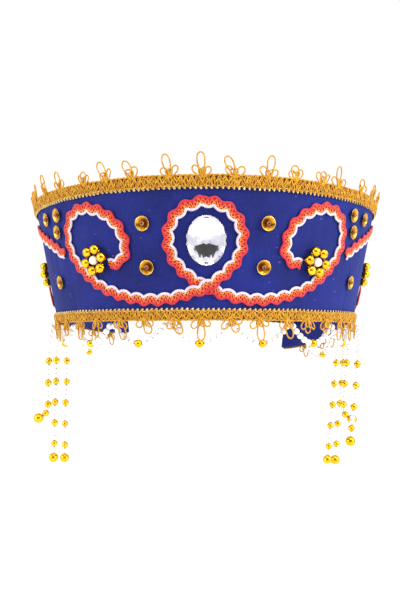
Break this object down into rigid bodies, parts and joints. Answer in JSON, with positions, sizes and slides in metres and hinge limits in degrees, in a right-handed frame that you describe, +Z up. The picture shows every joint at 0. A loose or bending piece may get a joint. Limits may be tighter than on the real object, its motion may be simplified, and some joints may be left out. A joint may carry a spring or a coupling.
{
  "type": "kokoshnik headdress",
  "caption": "Flared folk headdress band open at the back, with picot braid edges, rickrack scrolls, a cut crystal, bead flowers, sequins, a beaded garland and side strands",
  "frame": {"origin": "middle of the band's lower edge, where it sits round the head", "axes": "+Z up the band, the front faces -Y, +X to the right seen from the front"},
  "size_m": [0.2145, 0.2014, 0.1716],
  "materials": {
    "blue_cloth": "navy cotton cloth over a stiff band, matt plain weave",
    "gold_gimp": "gold metallised gimp braid with picot loops",
    "rickrack": "woven rickrack, crimson outside, orange middle, white inside",
    "crystal": "clear cut stone with a foiled flat back",
    "gold_bead": "gold metallised bead, polished",
    "pearl": "white imitation pearl, lustrous",
    "sequin": "gold cup sequin with an amber seed bead",
    "elastic": "navy woven elastic, matt"
  },
  "bodies": {
    "root": {"back_elastic": "elastic", "band": "blue_cloth", "bottom_braid": "gold_gimp", "crystal": "crystal", "flower_front_left": "gold_bead", "flower_front_right": "gold_bead", "flower_pearl_front_left": "pearl", "flower_pearl_front_right": "pearl", "flower_pearl_side_left": "pearl", "flower_pearl_side_right": "pearl", "flower_side_left": "gold_bead", "flower_side_right": "gold_bead", "front_scroll": "rickrack", "garland_back_left": "pearl", "garland_back_right": "pearl", "garland_front": "pearl", "sequin_left_1": "sequin", "sequin_left_2": "sequin", "sequin_left_3": "sequin", "sequin_left_4": "sequin", "sequin_left_5": "sequin", "sequin_left_6": "sequin", "sequin_left_7": "sequin", "sequin_left_8": "sequin", "sequin_right_1": "sequin", "sequin_right_2": "sequin", "sequin_right_3": "sequin", "sequin_right_4": "sequin", "sequin_right_5": "sequin", "sequin_right_6": "sequin", "sequin_right_7": "sequin", "sequin_right_8": "sequin", "side_scroll_left": "rickrack", "side_scroll_right": "rickrack", "strand_left_1": "pearl", "strand_left_2": "pearl", "strand_left_3": "pearl", "strand_right_1": "pearl", "strand_right_2": "pearl", "strand_right_3": "pearl", "strand_right_4": "pearl", "top_braid": "gold_gimp"}
  },
  "joints": []
}
